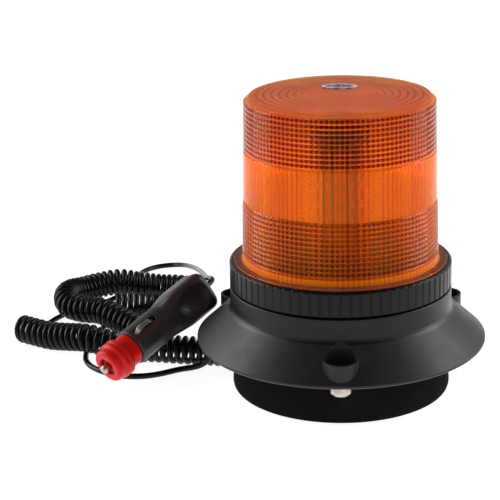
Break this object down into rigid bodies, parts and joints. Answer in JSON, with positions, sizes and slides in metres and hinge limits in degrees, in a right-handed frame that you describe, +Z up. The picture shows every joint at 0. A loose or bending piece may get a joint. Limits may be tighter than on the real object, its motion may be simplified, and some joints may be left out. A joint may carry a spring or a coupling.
{
  "type": "LED warning beacon",
  "caption": "Amber LED warning beacon with a ribbed lens and lock ring on a skirted base with a magnet boot, and a curly lead that ends in a vehicle lighter plug with a red adapter cap.",
  "frame": {"origin": "centre of the magnet boot underside, on the ground plane", "axes": "+Z up the lens axis, -Y through the front fixing boss, cord and plug towards -X"},
  "size_m": [0.2597, 0.2654, 0.1554],
  "materials": {
    "amber_lens": "gloss",
    "label": "satin",
    "ring_black": "satin",
    "housing_black": "satin",
    "deck_black": "matt",
    "rubber_black": "matt",
    "nut_black": "satin",
    "cord_black": "semi-gloss PU jacket",
    "plug_black": "satin gloss",
    "cap_red": "gloss",
    "nose_red": "gloss",
    "nickel": "nickel plate",
    "zinc_steel": "zinc",
    "pot_steel": "zinc",
    "ferrite": "matt",
    "board_green": "solder mask",
    "board_parts": "matt",
    "capacitor": "sleeve",
    "terminal_green": "gloss",
    "heat_sink_black": "dark anodised",
    "led_board_white": "solder mask",
    "led_amber": "phosphor",
    "wire_red": "PVC",
    "fuse_glass": "clear"
  },
  "bodies": {
    "root": {"lens_seal": "rubber_black", "base_housing": "housing_black", "mounting_screws": "zinc_steel", "mounting_sleeves": "nickel", "cable_gland": "rubber_black", "gland_nut": "nut_black", "magnet_boot": "rubber_black", "ring_magnet": "ferrite", "magnet_pot": "pot_steel", "magnet_adapter": "deck_black", "magnet_screws": "zinc_steel", "inner_deck": "deck_black", "deck_screws": "zinc_steel", "driver_board": "board_green", "board_screws": "zinc_steel", "board_capacitors": "capacitor", "board_inductor": "board_parts", "board_chips": "board_parts", "terminal_block": "terminal_green", "heat_sink": "heat_sink_black", "tower_screws": "zinc_steel", "led_boards": "led_board_white", "led_chips": "led_amber", "tower_cap": "deck_black", "supply_wires": "wire_red", "cord_base_tail": "cord_black", "cord_coil_far": "cord_black", "cord_link": "cord_black", "cord_coil_near": "cord_black", "cord_plug_tail": "cord_black", "plug_shell_front": "plug_black", "plug_shell_back": "plug_black", "plug_strain_relief": "rubber_black", "plug_screws": "zinc_steel", "din_nose": "nose_red", "pin_spring": "zinc_steel", "fuse_tube": "fuse_glass", "fuse_caps": "nickel"},
    "lens_cover": {"lens": "amber_lens", "approval_plate": "label"},
    "ring": {"lock_ring": "ring_black"},
    "pin": {"centre_pin": "nickel"},
    "upper_contact": {"side_contact_upper": "nickel"},
    "lower_contact": {"side_contact_lower": "nickel"},
    "cap": {"adapter_cap": "cap_red"}
  },
  "joints": [
    {"name": "lens_lift", "type": "slide", "parent": "root", "child": "lens_cover", "axis": [0, 0, 1], "range_m": [0, 0.12]},
    {"name": "ring_turn", "type": "hinge", "parent": "lens_cover", "child": "ring", "pos_m": [0, 0, 0.063], "axis": [0, 0, 1], "range_deg": [0, 90]},
    {"name": "pin_press", "type": "slide", "parent": "root", "child": "pin", "axis": [0.6203, 0.7136, 0.3256], "range_m": [0, 0.0025], "stiffness_N_per_m": 600, "deforming": ["pin_spring"]},
    {"name": "upper_contact_press", "type": "slide", "parent": "root", "child": "upper_contact", "axis": [-0.0847, 0.4736, -0.8767], "range_m": [0, 0.0012], "stiffness_N_per_m": 800},
    {"name": "lower_contact_press", "type": "slide", "parent": "root", "child": "lower_contact", "axis": [0.0847, -0.4736, 0.8767], "range_m": [0, 0.0012], "stiffness_N_per_m": 800},
    {"name": "cap_slide", "type": "slide", "parent": "root", "child": "cap", "axis": [-0.6203, -0.7136, -0.3256], "range_m": [0, 0.03]}
  ]
}
